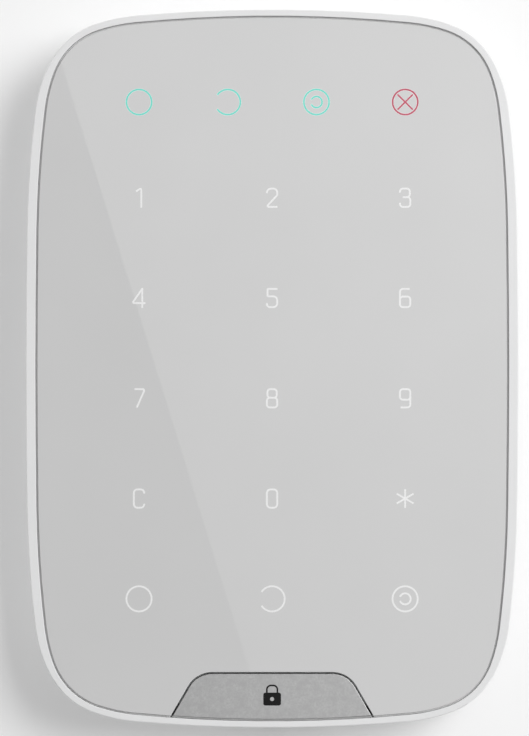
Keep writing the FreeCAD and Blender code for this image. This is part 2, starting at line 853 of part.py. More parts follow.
def mark_solid(faces, x, z):
    """Raises flat faces into one mark of full thickness, flush with the panel's front at x and z."""
    thick = SIZES["mark_thick"]
    spot = Vector(x, thick - SIZES["panel_front"], z)
    turn = FreeCAD.Placement(spot, FreeCAD.Rotation(Vector(1, 0, 0), 90))
    shape = faces[0].extrude(Vector(0, 0, thick))
    if len(faces) > 1:
        shape = shape.fuse([face.extrude(Vector(0, 0, thick)) for face in faces[1:]]).removeSplitter()
    shape.Placement = turn
    return shape


# half width and half height of a figure's centre line, and of the narrower upper bowl of 3 and 8
FIGURE_X = 1.08
FIGURE_Z = 1.91
BOWL_X = 0.98
WAIST_Z = 0.12
WIDE = 0.85
ROUND = 0.62
SHARP = 0.2
SPOKE_X = 1.72
SPOKE_Z = 0.99
STEM_END = 2.05


def figure_faces():
    """The strokes of each key's figure or letter, drawn as squarish rounded lines."""
    x, z, bowl, waist = FIGURE_X, FIGURE_Z, BOWL_X, WAIST_Z
    return {
        "1": [stroke_face([(0.48, -STEM_END), (0.48, STEM_END), (-0.58, 1.36)], SHARP)],
        "2": [
            stroke_face(
                [(-x, 1.02), (-x, z), (x, z), (x, 0.55), (-x - 0.12, -z), (x, -z)],
                [WIDE, WIDE, 0.5, SHARP],
            ),
        ],
        "3": [
            stroke_face([(-x, 1.1), (-x, z), (bowl, z), (bowl, waist), (-0.45, waist)], ROUND),
            stroke_face([(-0.45, waist), (x, waist), (x, -z), (-x, -z), (-x, -1.1)], ROUND),
        ],
        "4": [
            stroke_face([(0.68, -STEM_END), (0.68, STEM_END)]),
            stroke_face([(0.68, STEM_END - 0.1), (-1.42, -1.06), (1.3, -1.06)], SHARP),
        ],
        "5": [
            stroke_face(
                [(x, z), (-0.95, z), (-0.95, 0.35), (x, 0.35), (x, -z), (-x, -z), (-x, -1.1)],
                [SHARP, SHARP, WIDE, WIDE, ROUND],
            ),
        ],
        "6": [
            stroke_face([(-x, 0.3), (-x, -z), (x, -z), (x, 0.3)], ROUND, closed=True),
            stroke_face([(-x, -0.6), (-x, z), (0.9, z)], ROUND),
        ],
        "7": [stroke_face([(-0.9, z), (x - 0.05, z), (x - 0.05, 1.45), (-0.45, -z)], SHARP)],
        "8": [
            stroke_face([(-bowl, z), (bowl, z), (bowl, waist), (-bowl, waist)], ROUND, closed=True),
            stroke_face([(-x, waist), (x, waist), (x, -z), (-x, -z)], ROUND, closed=True),
        ],
        "9": [
            stroke_face([(x, -0.3), (x, z), (-x, z), (-x, -0.3)], ROUND, closed=True),
            stroke_face([(x, 0.6), (x, -z), (-0.9, -z)], ROUND),
        ],
        "C": [stroke_face([(x, 1.1), (x, z), (-x, z), (-x, -z), (x, -z), (x, -1.1)], 0.75)],
        "0": [stroke_face([(-x, -z), (x, -z), (x, z), (-x, z)], 0.75, closed=True)],
        "*": [
            stroke_face([(0, -z), (0, z)]),
            stroke_face([(-SPOKE_X, -SPOKE_Z), (SPOKE_X, SPOKE_Z)]),
            stroke_face([(-SPOKE_X, SPOKE_Z), (SPOKE_X, -SPOKE_Z)]),
        ],
    }


def key_legends():
    rows = ("123", "456", "789", "C0*")
    faces = figure_faces()
    marks = []
    for row, figures in enumerate(rows):
        z = SIZES["key_top_z"] - row * SIZES["key_pitch_z"]
        for column, figure in enumerate(figures):
            marks.append(mark_solid(faces[figure], (column - 1) * SIZES["key_pitch_x"], z))
    return shaped("key_legends", Part.makeCompound(marks))


# half of the opening in a broken ring, in degrees
GAP = 34
SMALL_GAP = 24


def double_ring(stroke):
    return [
        circle_face(SIZES["ring_r"], stroke),
        broken_ring_face(SIZES["small_ring_r"], SMALL_GAP, stroke),
    ]


def arming_legends():
    """Open ring, broken ring and double ring on the three keys of the lowest row."""
    ring, pitch = SIZES["ring_r"], SIZES["key_pitch_x"]
    z = SIZES["key_top_z"] - 4 * SIZES["key_pitch_z"]
    marks = [
        mark_solid([circle_face(ring)], -pitch, z),
        mark_solid([broken_ring_face(ring, GAP)], 0, z),
    ]
    marks += [mark_solid([face], pitch, z) for face in double_ring("mark_stroke")]
    return shaped("arming_legends", Part.makeCompound(marks))


def status_icons():
    """Three status windows of one colour, in the same order as the keys of the lowest row."""
    ring, step = SIZES["ring_r"], SIZES["key_pitch_x"] / 3
    stroke, z = "icon_stroke", SIZES["status_z"]
    marks = [
        mark_solid([circle_face(ring, stroke)], -3 * step, z),
        mark_solid([broken_ring_face(ring, GAP, stroke)], -step, z),
    ]
    marks += [mark_solid([face], step, z) for face in double_ring(stroke)]
    return shaped("status_icons", Part.makeCompound(marks))


def fault_icon():
    """Ring with a cross, the fault window at the right of the status row."""
    arm, stroke = 1.6, "icon_stroke"
    cross = [
        stroke_face([(-arm, -arm), (arm, arm)], stroke=stroke),
        stroke_face([(-arm, arm), (arm, -arm)], stroke=stroke),
    ]
    x, z = SIZES["key_pitch_x"], SIZES["status_z"]
    marks = [mark_solid([circle_face(SIZES["ring_r"], stroke)], x, z), mark_solid(cross, x, z)]
    return shaped("fault_icon", Part.makeCompound(marks))


def badge_emblem():
    """Plain padlock sign on the badge plate: a shackle over a rounded body."""
    thick = SIZES["mark_thick"]
    half_width, low, high = 1.85, -2.1, 0.6
    body = Part.makeBox(half_width * 2, high - low, thick, Vector(-half_width, low, 0))
    body = body.makeFillet(0.45, [edge for edge in body.Edges if abs(edge.tangentAt(0).z) > 0.9])
    keyhole = Part.makeCylinder(0.42, thick, Vector(0, (low + high) / 2, 0))
    leg, crown = 1.1, 2.1
    sides = [(-leg, high - 0.1), (-leg, crown), (leg, crown), (leg, high - 0.1)]
    shackle = stroke_face(sides, 0.85, stroke="icon_stroke")
    solid = body.cut(keyhole).fuse(shackle.extrude(Vector(0, 0, thick))).removeSplitter()
    spot = Vector(0, thick - SIZES["badge_front"], SIZES["sign_z"])
    solid.Placement = FreeCAD.Placement(spot, FreeCAD.Rotation(Vector(1, 0, 0), 90))
    return shaped("badge_emblem", solid)


# ---------------------------------------------------------------- front layers

def slope_sides(half_top, top, foot):
    """Half width at foot of a trapezoid whose sides spread at the badge's slope."""
    return half_top + (top - foot) / tangent(size("badge_slope"))


def upright_edges_near(feature, x, z):
    def is_upright(edge):
        first, last = edge.Vertexes[0], edge.Vertexes[-1]
        near = all(math.hypot(abs(v.X) - x.value, v.Z - z.value) < 0.01 for v in (first, last))
        return near and abs(first.X - last.X) < 0.01

    return edges_where(feature, is_upright)


def flanged_blank(body, front):
    """Plate that fills the opening, with a thin flange behind the gap round its edge."""
    back, flange_front = size("panel_back"), size("flange_front")
    flange = new_sketch(body, back)
    add_outline(flange, "opening", size("flange_gap"))
    pad(body, flange, flange_front - back)
    face = new_sketch(body, flange_front)
    add_outline(face, "opening", size("panel_gap"))
    pad(body, face, front - flange_front)


def touch_panel(marks):
    """Glossy touch surface with a notch at its foot for the badge, and a pocket for every mark."""
    body = new_body("touch_panel_blank")
    back, front, gap = size("panel_back"), size("panel_front"), size("badge_gap")
    flanged_blank(body, front)
    slope = size("badge_slope")
    top = size("badge_top") + gap
    half_top = size("badge_half_top") + gap / sine(slope) - gap / tangent(slope)
    foot = -size("case_half_width") * 1.5
    half_foot = slope_sides(half_top, top, foot)
    notch = new_sketch(body, back)
    add_polygon(notch, [(-half_foot, foot), (half_foot, foot), (half_top, top), (-half_top, top)])
    notched = cut(body, notch, front - back)
    corners = upright_edges_near(notched, half_top, top)
    rounded = dress(body, "Fillet", notched, corners, size("badge_corner_r") + gap)
    dress(body, "Fillet", rounded, edges_at_depth(rounded, front), size("panel_edge_r"))
    return subtract("touch_panel", body, group("mark_pockets", marks))


def badge_plate(emblem):
    """Metal badge that fills the notch in the panel down to the rim of the casing."""
    body = new_body("badge_plate_blank")
    back, front = size("panel_back"), size("badge_front")
    top, half_top = size("badge_top"), size("badge_half_top")
    wide = size("case_half_width") * 1.2
    foot, high = -size("case_half_width") * 1.5, size("case_half_width") * 1.5
    half_foot = slope_sides(half_top, top, foot)
    flanged_blank(body, front)
    around = new_sketch(body, back)
    add_polygon(
        around,
        [(-wide, foot), (-wide, high), (wide, high), (wide, foot), (half_foot, foot), (half_top, top),
         (-half_top, top), (-half_foot, foot)],
    )
    trimmed = cut(body, around, front - back)
    corners = upright_edges_near(trimmed, half_top, top)
    rounded = dress(body, "Fillet", trimmed, corners, size("badge_corner_r"))
    dress(body, "Fillet", rounded, edges_at_depth(rounded, front), size("badge_edge_r"))
    return subtract("badge_plate", body, emblem)


def panel_adhesive():
    """Thin ring of bonding tape between the ledge of the frame and the panel."""
    body = new_body("panel_adhesive")
    ring = new_sketch(body, size("seat_depth"))
    add_outline(ring, "opening", 0.5)
    add_outline(ring, "opening", size("ledge_wide") - 0.1)
    pad(body, ring, size("panel_back") - size("seat_depth"))
    return body


def light_guide():
    """Clear film that spreads the light of the key lamps behind the panel."""
    body = new_body("light_guide")
    film = new_sketch(body, size("panel_back") - 0.25)
    add_outline(film, "opening", size("ledge_wide") + 0.4)
    pad(body, film, 0.25)
    return body


def key_places():
    """Column and row centres of the fifteen touch keys."""
    for row in range(5):
        for column in (-1, 0, 1):
            yield size("key_pitch_x") * column, size("key_top_z") - size("key_pitch_z") * row


def touch_electrodes():
    """A copper sensing pad for each key, open in the middle for its lamp."""
    front = size("board_front")
    pads = []
    for x, z in key_places():
        plate = block("electrode_plate", x, z, front, front + 0.1, 6.0, 6.5)
        hole = rod("electrode_hole", x, z, front - 0.5, front + 0.5, 1.9)
        pads.append(subtract("electrode", plate, hole))
    return group("touch_electrodes", pads)


def key_lamps():
    """Small white lamps, one in the middle of each sensing pad."""
    front = size("board_front")
    lamps = [block("key_lamp", x, z, front, front + 0.3, 0.8, 0.4) for x, z in key_places()]
    return group("key_lamps", lamps)


def status_lamps():
    front, step = size("board_front"), size("key_pitch_x") / 3
    lamps = []
    for count in (-3, -1, 1, 3):
        lamps.append(block("status_lamp", step * count, size("status_z"), front, front + 0.3, 0.8, 0.8))
    return group("status_lamps", lamps)


# ---------------------------------------------------------------- electronics

def main_board():
    """Circuit board with two long slots through which the cells reach forward."""
    body = new_body("main_board")
    back, front = size("board_back"), size("board_front")
    outline = new_sketch(body, back)
    add_outline(outline, "opening", size("ledge_wide") + 0.3)
    pad(body, outline, front - back)
    slots = new_sketch(body, back)
    for x in both_sides(size("cell_x")):
        add_rectangle(slots, x, 0, 4.0, size("bay_end") + 0.4)
    cut(body, slots, front - back)
    return body


def rear_part(label, x, z, half_width, half_height, tall):
    """A component on the rear face of the board."""
    back = size("board_back")
    return block(label, x, z, back - tall, back, half_width, half_height)


def controller_chip():
    return rear_part("controller_chip", 0, 20, 3.5, 3.5, 0.9)


def touch_chip():
    return rear_part("touch_chip", 0, -12, 3.0, 3.0, 0.9)


def clock_crystal():
    return rear_part("clock_crystal", 0, 30, 1.6, 0.75, 0.8)


def board_passives():
    """Resistors and capacitors in short rows beside the chips, and the coil of the supply."""
    parts = []
    for row in range(5):
        for x in both_sides(as_size(5.6)):
            parts.append(rear_part("passive", x, 26 - row * 3.0, 0.45, 0.85, 0.5))
    for row in range(4):
        for x in both_sides(as_size(5.2)):
            parts.append(rear_part("passive", x, -8 - row * 3.0, 0.45, 0.85, 0.5))
    for row in range(3):
        parts.append(rear_part("passive", 24.5 + row * 3.2, -2, 0.85, 0.45, 0.5))
    parts.append(rear_part("supply_coil", -28, -18, 2.5, 2.5, 2.2))
    parts.append(rear_part("supply_capacitor", -35, -18, 1.8, 1.2, 1.8))
    return group("board_passives", parts)


RADIO_X, RADIO_Z = 31, 15
RADIO_BOARD_THICK = 0.8


def radio_board():
    return rear_part("radio_board", RADIO_X, RADIO_Z, 8, 9, RADIO_BOARD_THICK)


def radio_shield():
    """Tinned can over the radio, drawn as a box open towards its board."""
    board = size("board_back") - RADIO_BOARD_THICK
    x, z, tall, sheet_metal = RADIO_X, RADIO_Z - 1, 2.0, 0.25
    half_width, half_height = 6.8, 6.5
    outer = block("radio_can", x, z, board - tall, board, half_width, half_height)
    inner = block(
        "radio_can_inside", x, z, board - tall + sheet_metal, board + 0.5,
        half_width - sheet_metal, half_height - sheet_metal,
    )
    return subtract("radio_shield", outer, inner)


def radio_antenna():
    """Meandered strip along the top edge of the board."""
    body = new_body("radio_antenna")
    sketch = new_sketch(body, size("board_back") - 0.2)
    add_polygon(sketch, meander(left=-14.0, low=57.0, strip=1.0, tall=6.0, pitch=4.0, turns=7))
    pad(body, sketch, 0.2)
    return body


def meander(left, low, strip, tall, pitch, turns):
    """Corners of a strip that runs up and down turns times, one pitch apart."""
    upper, lower = [], []
    for count in range(turns):
        x = left + count * pitch
        if count % 2 == 0:
            upper += [(x, low + tall + strip), (x + pitch + strip, low + tall + strip)]
            lower += [(x + strip, low + tall), (x + pitch, low + tall)]
        else:
            lower += [(x, low), (x + pitch + strip, low)]
            upper += [(x + strip, low + strip), (x + pitch, low + strip)]
    return upper + lower[::-1]


def buzzer():
    """Round sounder with its sound hole facing the rear housing."""
    back, x, z, tall = size("board_back"), 33, -26, 3.6
    case = rod("buzzer_case", x, z, back - tall, back, 5.5)
    hole = rod("buzzer_hole", x, z, back - tall - 0.6, back - 2.0, 1.0)
    return subtract("buzzer", case, hole)


def switch_with_pin(name, pin_r):
    """Board-mounted push switch whose pin points at the rear housing."""
    x, z, half = size(f"{name}_x"), size(f"{name}_z"), size("switch_half")
    case_back = size("floor_front") + size("switch_rise")
    case = block(f"{name}_switch_case", x, z, case_back, size("board_back"), half, half)
    pin = rod(f"{name}_switch_pin", x, z, case_back - size("switch_pin_tall"), case_back + 0.2, pin_r)
    return fuse(f"{name}_switch", [case, pin])


def tamper_switch():
    return switch_with_pin("tamper", 0.8)


def power_switch():
    return switch_with_pin("power", 0.9)


def tamper_button():
    """Plunger whose tip rests against the bracket's break-out disc."""
    x, z, radius = size("tamper_x"), size("tamper_z"), size("tamper_r")
    floor_front = size("floor_front")
    tip = rod("tamper_tip", x, z, size("bracket_thick") + 0.1, floor_front + 0.5, radius)
    flange = rod("tamper_flange", x, z, floor_front + 0.1, floor_front + 1.0, radius + 1.1)
    stem = rod("tamper_stem", x, z, floor_front + 0.5, floor_front + 2.6, 0.9)
    return fuse("tamper_button", [tip, flange, stem])


def power_button():
    """Round button under the bracket that switches the keypad on."""
    x, z, radius = size("power_x"), size("power_z"), size("power_r")
    floor_front = size("floor_front")
    cap = rod("power_cap", x, z, size("floor_back") + 0.2, floor_front + 0.5, radius)
    flange = rod("power_flange", x, z, floor_front + 0.1, floor_front + 1.0, radius + 0.8)
    stem = rod("power_stem", x, z, floor_front + 0.5, floor_front + 2.8, 1.1)
    return fuse("power_button", [cap, flange, stem])


def coil_spring(radius, wire, height, turns):
    """A coil spring of eight-sided wire that stands on the origin and rises along Z to its height."""
    rise = height - 2 * wire
    helix = Part.makeHelix(rise / turns, rise, radius)
    angles = [math.radians(22.5 + 45 * corner) for corner in range(9)]
    corners = [Vector(radius + wire * math.cos(angle), 0, wire * math.sin(angle)) for angle in angles]
    coil = Part.Wire(helix).makePipeShell([Part.makePolygon(corners)], True, True)
    coil.translate(Vector(0, 0, wire))
    return coil


def button_spring(name, radius):
    """Return spring between a button's flange and its switch, along the button's stem."""
    flange_front = 1.0
    clear = 0.02
    back = SIZES["floor_front"] + flange_front + clear
    front = SIZES["floor_front"] + SIZES["switch_rise"] - clear
    coil = coil_spring(radius, 0.15, front - back, 4)
    spot = Vector(SIZES[f"{name}_x"], -back, SIZES[f"{name}_z"])
    turn = FreeCAD.Placement(spot, FreeCAD.Rotation(Vector(1, 0, 0), 90))
    coil.Placement = turn * coil.Placement
    return shaped(f"{name}_spring", coil)


def tamper_spring():
    return button_spring("tamper", 1.5)


def power_spring():
    return button_spring("power", 1.8)


# ---------------------------------------------------------------- batteries

def battery_cell(number, column, way):
    """One AAA cell: a can with a nub, turned from its half section."""
    body = new_body(f"battery_cell_{number}")
    radius, nub_r = size("cell_r"), size("cell_nub_r")
    base = size("cell_base")
    shoulder = base + size("cell_long") - size("cell_nub_tall")
    tip = base + size("cell_long")
    profile = new_sketch(body, 0)
    add_polygon(
        profile,
        [(0, base), (radius - 0.4, base), (radius, base + 0.4), (radius, shoulder - 0.5),
         (radius - 0.5, shoulder), (nub_r, shoulder), (nub_r, tip), (0, tip)],
    )
    turned = body.newObject("PartDesign::Revolution", f"battery_cell_{number}_turned")
    turned.Profile = profile
    turned.ReferenceAxis = (profile, ["V_Axis"])
    turned.Angle = 360
    body.Placement.Rotation = FreeCAD.Rotation(Vector(0, 1, 0), 0 if way > 0 else 180)
    place(body, size("cell_x") * column, -size("cell_depth"), as_size(0))
    return body


def battery_springs():
    """Contact springs between the outer end of each cell and the end plate of its bay."""
    inner = SIZES["cell_base"] + SIZES["cell_long"]
    outer = SIZES["bay_end"] - SIZES["contact_thick"]
    coils = []
    for x in both_sides(SIZES["cell_x"]):
        for way in (1, -1):
            coil = coil_spring(2.5, 0.3, outer - inner, 3)
            turn = FreeCAD.Rotation(Vector(0, 1, 0), 0 if way > 0 else 180)
            spot = Vector(x, -SIZES["cell_depth"], way * inner)
            coil.Placement = FreeCAD.Placement(spot, turn) * coil.Placement
            coils.append(coil)
    return shaped("battery_springs", Part.makeCompound(coils))


def battery_contacts():
    """Plated contact strips at both ends of each bay."""
    back, front = size("floor_front") + 0.1, size("contact_front")
    half_width, half_thick = size("contact_half_width"), size("contact_thick") / 2
    plates = []
    for x in both_sides(size("cell_x")):
        for z in (size("bay_end") - half_thick, size("bay_divider") + half_thick):
            for middle in both_sides(z):
                plates.append(block("contact_plate", x, middle, back, front, half_width, half_thick))
    return group("battery_contacts", plates)


# ---------------------------------------------------------------- assembly

legends = [key_legends(), arming_legends(), status_icons(), fault_icon()]
emblem = badge_emblem()
nodes = [
    mounting_bracket(),
    retaining_screw(),
    front_frame(),
    rear_housing(),
    case_screws(),
    touch_panel(legends),
    badge_plate(emblem),
    *legends,
    emblem,
    panel_adhesive(),
    light_guide(),
    touch_electrodes(),
    key_lamps(),
    status_lamps(),
    main_board(),
    controller_chip(),
    touch_chip(),
    clock_crystal(),
    board_passives(),
    radio_board(),
    radio_shield(),
    radio_antenna(),
    buzzer(),
    tamper_switch(),
    power_switch(),
    tamper_button(),
    power_button(),
    tamper_spring(),
    power_spring(),
    battery_cell(1, -1, 1),
    battery_cell(2, -1, -1),
    battery_cell(3, 1, 1),
    battery_cell(4, 1, -1),
    battery_springs(),
    battery_contacts(),
]
doc.recompute()

for item in doc.Objects:
    assert "Invalid" not in item.State and "Error" not in item.State, f"{item.Label}: {item.State}"
    if item.TypeId == "PartDesign::Pocket":
        assert item.Shape.Volume < item.BaseFeature.Shape.Volume - 1e-6, f"{item.Label} cuts nothing"

os.makedirs("parts", exist_ok=True)
for node in nodes:
    shape = node.Shape
    assert not shape.isNull() and shape.isValid(), f"{node.Label} has no valid shape"
    assert shape.Solids, f"{node.Label} has no solid"
    shape.exportStep(f"parts/{node.Label}.step")
    box = shape.BoundBox
    print(
        f"{node.Label:18s} solids {len(shape.Solids):3d}  volume {shape.Volume:9.1f}"
        f"  x {box.XMin:7.2f} {box.XMax:7.2f}  y {box.YMin:7.2f} {box.YMax:7.2f}"
        f"  z {box.ZMin:7.2f} {box.ZMax:7.2f}"
    )
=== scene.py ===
import math

import bmesh
import bpy
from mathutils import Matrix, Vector


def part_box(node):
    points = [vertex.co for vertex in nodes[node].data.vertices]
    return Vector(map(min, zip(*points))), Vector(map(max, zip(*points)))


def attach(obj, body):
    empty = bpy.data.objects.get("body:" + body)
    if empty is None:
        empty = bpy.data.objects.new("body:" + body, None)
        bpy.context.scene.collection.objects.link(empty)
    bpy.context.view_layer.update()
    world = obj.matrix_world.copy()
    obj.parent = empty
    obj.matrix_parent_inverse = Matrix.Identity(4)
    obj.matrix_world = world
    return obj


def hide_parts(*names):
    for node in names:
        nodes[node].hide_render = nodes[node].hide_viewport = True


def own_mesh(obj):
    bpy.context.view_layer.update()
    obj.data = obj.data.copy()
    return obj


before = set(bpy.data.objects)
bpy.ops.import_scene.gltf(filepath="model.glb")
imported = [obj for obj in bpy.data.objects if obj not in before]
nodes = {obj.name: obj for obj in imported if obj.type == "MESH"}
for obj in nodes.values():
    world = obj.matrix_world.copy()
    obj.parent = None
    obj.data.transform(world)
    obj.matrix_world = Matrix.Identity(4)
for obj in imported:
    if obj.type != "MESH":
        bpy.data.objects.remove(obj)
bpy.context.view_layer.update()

MM = 0.001
scene = bpy.context.scene

# Sockets of the colour Mix node: its two colour inputs and its colour output.
MIX_FIRST, MIX_SECOND, MIX_OUT = 6, 7, 2


def mapped(tree, start, end, low, high):
    """A node that maps a value from start..end to low..high."""
    made = tree.nodes.new("ShaderNodeMapRange")
    limits = {"From Min": start, "From Max": end, "To Min": low, "To Max": high}
    for socket, value in limits.items():
        made.inputs[socket].default_value = value
    return made


# --- materials ------------------------------------------------------------------------------
# Every finish is a Principled shader with noise for colour, roughness and relief, in the
# object's own coordinates, so that grain keeps its real size and moves with its piece.

class Finish:
    """A new node material with short calls for its nodes."""

    def __init__(self, name):
        self.material = bpy.data.materials.new(name)
        self.material.use_nodes = True
        self.tree = self.material.node_tree
        self.tree.nodes.clear()
        self.output = self.node("ShaderNodeOutputMaterial")
        self.shader = self.node("ShaderNodeBsdfPrincipled")
        self.link(self.shader, "BSDF", self.output, "Surface")
        self.place = self.node("ShaderNodeTexCoord")

    def node(self, kind, **values):
        made = self.tree.nodes.new(kind)
        for key, value in values.items():
            setattr(made, key, value)
        return made

    def link(self, source, out_socket, target, in_socket):
        self.tree.links.new(source.outputs[out_socket], target.inputs[in_socket])

    def set(self, **values):
        for key, value in values.items():
            self.shader.inputs[key.replace("_", " ")].default_value = value
        return self

    def noise(self, size, detail=2.0, rough=0.55):
        """Noise whose blotches are about size metres across."""
        made = self.node("ShaderNodeTexNoise")
        made.inputs["Scale"].default_value = 1 / size
        made.inputs["Detail"].default_value = detail
        made.inputs["Roughness"].default_value = rough
        self.link(self.place, "Object", made, "Vector")
        return made

    def ramp(self, source, low, high, start=0.3, end=0.7, out_socket="Fac"):
        """Maps a value from start..end to low..high."""
        made = mapped(self.tree, start, end, low, high)
        self.link(source, out_socket, made, "Value")
        return made

    def mixed(self, factor, first, second, out_socket="Result"):
        """Blend of two colours, each a plain colour or the mix made before."""
        made = self.node("ShaderNodeMix", data_type="RGBA")
        self.link(factor, out_socket, made, "Factor")
        for socket, colour in ((MIX_FIRST, first), (MIX_SECOND, second)):
            if isinstance(colour, bpy.types.Node):
                self.link(colour, MIX_OUT, made, socket)
            else:
                made.inputs[socket].default_value = (*colour, 1)
        return made

    def paint(self, mix):
        self.link(mix, MIX_OUT, self.shader, "Base Color")

    def roughen(self, source):
        self.link(source, "Result", self.shader, "Roughness")

    def relief(self, *layers):
        """Stacked bumps: each layer is a height source, its output, depth in metres and strength."""
        last = None
        for source, out_socket, depth, strength in layers:
            bump = self.node("ShaderNodeBump")
            bump.inputs["Strength"].default_value = strength
            bump.inputs["Distance"].default_value = depth
            self.link(source, out_socket, bump, "Height")
            if last:
                self.link(last, "Normal", bump, "Normal")
            last = bump
        self.link(last, "Normal", self.shader, "Normal")

    def edges(self, width):
        """1 on rounded and sharp edges, 0 on flat faces."""
        soft = self.node("ShaderNodeBevel", samples=4)
        soft.inputs["Radius"].default_value = width
        hard = self.node("ShaderNodeNewGeometry")
        dot = self.node("ShaderNodeVectorMath", operation="DOT_PRODUCT")
        self.link(soft, "Normal", dot, 0)
        self.link(hard, "Normal", dot, 1)
        return self.ramp(dot, 1.0, 0.0, 0.80, 0.995, "Value")


def shade(colour, factor):
    return tuple(min(1.0, channel * factor) for channel in colour)


def moulded(name, colour, rough=(0.42, 0.52), grain=0.22 * MM, depth=0.010 * MM, wear=0.0):
    """Moulded plastic: spark-eroded grain, faint flow clouds, edges a little paler."""
    f = Finish(name)
    clouds = f.noise(14 * MM, 3.0)
    speck = f.noise(0.5 * MM, 2.0)
    fine = f.noise(grain, 3.0, 0.6)
    mix = f.mixed(f.ramp(clouds, 0, 1), shade(colour, 0.978), shade(colour, 1.02))
    mix = f.mixed(f.ramp(speck, 0.0, 0.5, 0.52, 0.8), mix, shade(colour, 0.95))
    if wear:
        mix = f.mixed(f.edges(0.25 * MM), mix, shade(colour, 1 + wear))
    f.paint(mix)
    f.roughen(f.ramp(clouds, *rough))
    f.relief((fine, "Fac", depth, 0.5), (speck, "Fac", depth * 1.5, 0.25))
    return f.set(IOR=1.50).material


def glossy(name, colour, rough=(0.008, 0.014), mottle=0.01, painted_edge_highlight=0.0, specular=0.5):
    """Polished acrylic or lacquer: nearly flat, with a trace of orange peel and dust, and a painted
    highlight along its edges if one is asked for.
    """
    f = Finish(name)
    clouds = f.noise(24 * MM, 2.0)
    dust = f.noise(0.16 * MM, 1.0)
    peel = f.noise(1.1 * MM, 2.0)
    mix = f.mixed(f.ramp(clouds, 0, 1), shade(colour, 1 - mottle), shade(colour, 1 + mottle))
    mix = f.mixed(f.ramp(dust, 0, 0.12, 0.66, 0.74), mix, shade(colour, 1.10))
    # Painted highlight: edges within 0.2 mm are painted brighter, standing in for the glint that
    # light gives on a polished edge.
    if painted_edge_highlight:
        mix = f.mixed(f.edges(0.2 * MM), mix, shade(colour, 1 + painted_edge_highlight))
    f.paint(mix)
    f.roughen(f.ramp(clouds, *rough))
    f.relief((peel, "Fac", 0.0006 * MM, 0.25))
    return f.set(IOR=1.49, Specular_IOR_Level=specular).material


def printed(name, colour, glow=0.0):
    """Window fill or ink: fine halftone mottle, slightly uneven gloss, and a faint painted glow if
    one is given.
    """
    f = Finish(name)
    mottle = f.noise(0.12 * MM, 2.0)
    cover = f.noise(2.5 * MM, 2.0)
    mix = f.mixed(f.ramp(mottle, 0, 1), shade(colour, 0.95), shade(colour, 1.03))
    mix = f.mixed(f.ramp(cover, 0, 0.3), mix, shade(colour, 0.96))
    f.paint(mix)
    f.roughen(f.ramp(cover, 0.28, 0.38))
    f.relief((mottle, "Fac", 0.002 * MM, 0.3))
    # Painted glow: the print gives off a little light of its own colour, though no lamp lights it.
    if glow:
        f.set(Emission_Color=(*colour, 1), Emission_Strength=glow)
    return f.material


def metal(name, colour, rough, grain=0.3 * MM):
    """Plated or rolled metal: dull grain, faint stains, bright rubbed edges."""
    f = Finish(name)
    clouds = f.noise(4 * MM, 3.0)
    fine = f.noise(grain, 4.0, 0.65)
    mix = f.mixed(f.ramp(clouds, 0, 1), shade(colour, 0.94), colour)
    mix = f.mixed(f.ramp(fine, 0, 0.5), mix, shade(colour, 0.90))
    mix = f.mixed(f.edges(0.12 * MM), mix, shade(colour, 1.12))
    f.paint(mix)
    f.roughen(f.ramp(fine, *rough))
    f.relief((fine, "Fac", 0.004 * MM, 0.5))
    return f.set(Metallic=1.0).material


def badge_finish(name, colour):
    """Bead-blasted zinc under clear lacquer: a dense soft mottle in two sizes."""
    f = Finish(name)
    blast = f.noise(0.42 * MM, 2.0, 0.6)
    cloud = f.noise(1.7 * MM, 3.0, 0.6)
    fine = f.noise(0.14 * MM, 1.0)
    mix = f.mixed(f.ramp(blast, 0, 1, 0.32, 0.68), shade(colour, 0.90), shade(colour, 1.10))
    mix = f.mixed(f.ramp(cloud, 0, 0.7, 0.38, 0.66), mix, shade(colour, 0.88))
    f.paint(mix)
    f.roughen(f.ramp(blast, 0.40, 0.52))
    f.relief((blast, "Fac", 0.010 * MM, 0.35), (fine, "Fac", 0.004 * MM, 0.3))
    return f.set(Metallic=1.0, Coat_Weight=0.15, Coat_Roughness=0.25).material


def board_finish(name, colour):
    """Solder mask over copper: tracks show as a faint paler relief grid."""
    f = Finish(name)
    weave = f.noise(0.35 * MM, 2.0)
    clouds = f.noise(9 * MM, 3.0)
    tracks = f.node("ShaderNodeTexBrick", offset=0.5)
    tracks.inputs["Scale"].default_value = 1 / (9 * MM)
    tracks.inputs["Mortar Size"].default_value = 0.03
    tracks.inputs["Color1"].default_value = (0, 0, 0, 1)
    tracks.inputs["Color2"].default_value = (0, 0, 0, 1)
    tracks.inputs["Mortar"].default_value = (1, 1, 1, 1)
    turned = f.node("ShaderNodeMapping")
    turned.inputs["Rotation"].default_value = (math.radians(90), 0, 0)
    f.link(f.place, "Object", turned, "Vector")
    f.link(turned, "Vector", tracks, "Vector")
    mix = f.mixed(f.ramp(clouds, 0, 1), shade(colour, 0.9), shade(colour, 1.08))
    mix = f.mixed(f.ramp(weave, 0, 0.4), mix, shade(colour, 0.85))
    mix = f.mixed(f.ramp(tracks, 0, 0.6, 0, 1, "Color"), mix, shade(colour, 1.7))
    f.paint(mix)
    f.roughen(f.ramp(clouds, 0.26, 0.36))
    f.relief((tracks, "Color", 0.02 * MM, 0.5), (weave, "Fac", 0.006 * MM, 0.3))
    return f.set(Coat_Weight=0.2, Coat_Roughness=0.12).material


def clear_finish(name, tint):
    """Clear light-guide film with dot texture."""
    f = Finish(name)
    dots = f.node("ShaderNodeTexVoronoi")
    dots.inputs["Scale"].default_value = 1 / (0.8 * MM)
    f.link(f.place, "Object", dots, "Vector")
    haze = f.noise(6 * MM, 2.0)
    f.paint(f.mixed(f.ramp(haze, 0, 1), shade(tint, 0.95), tint))
    f.roughen(f.ramp(haze, 0.12, 0.22))
    f.relief((dots, "Distance", 0.01 * MM, 0.5))
    return f.set(Transmission_Weight=0.7, IOR=1.49).material


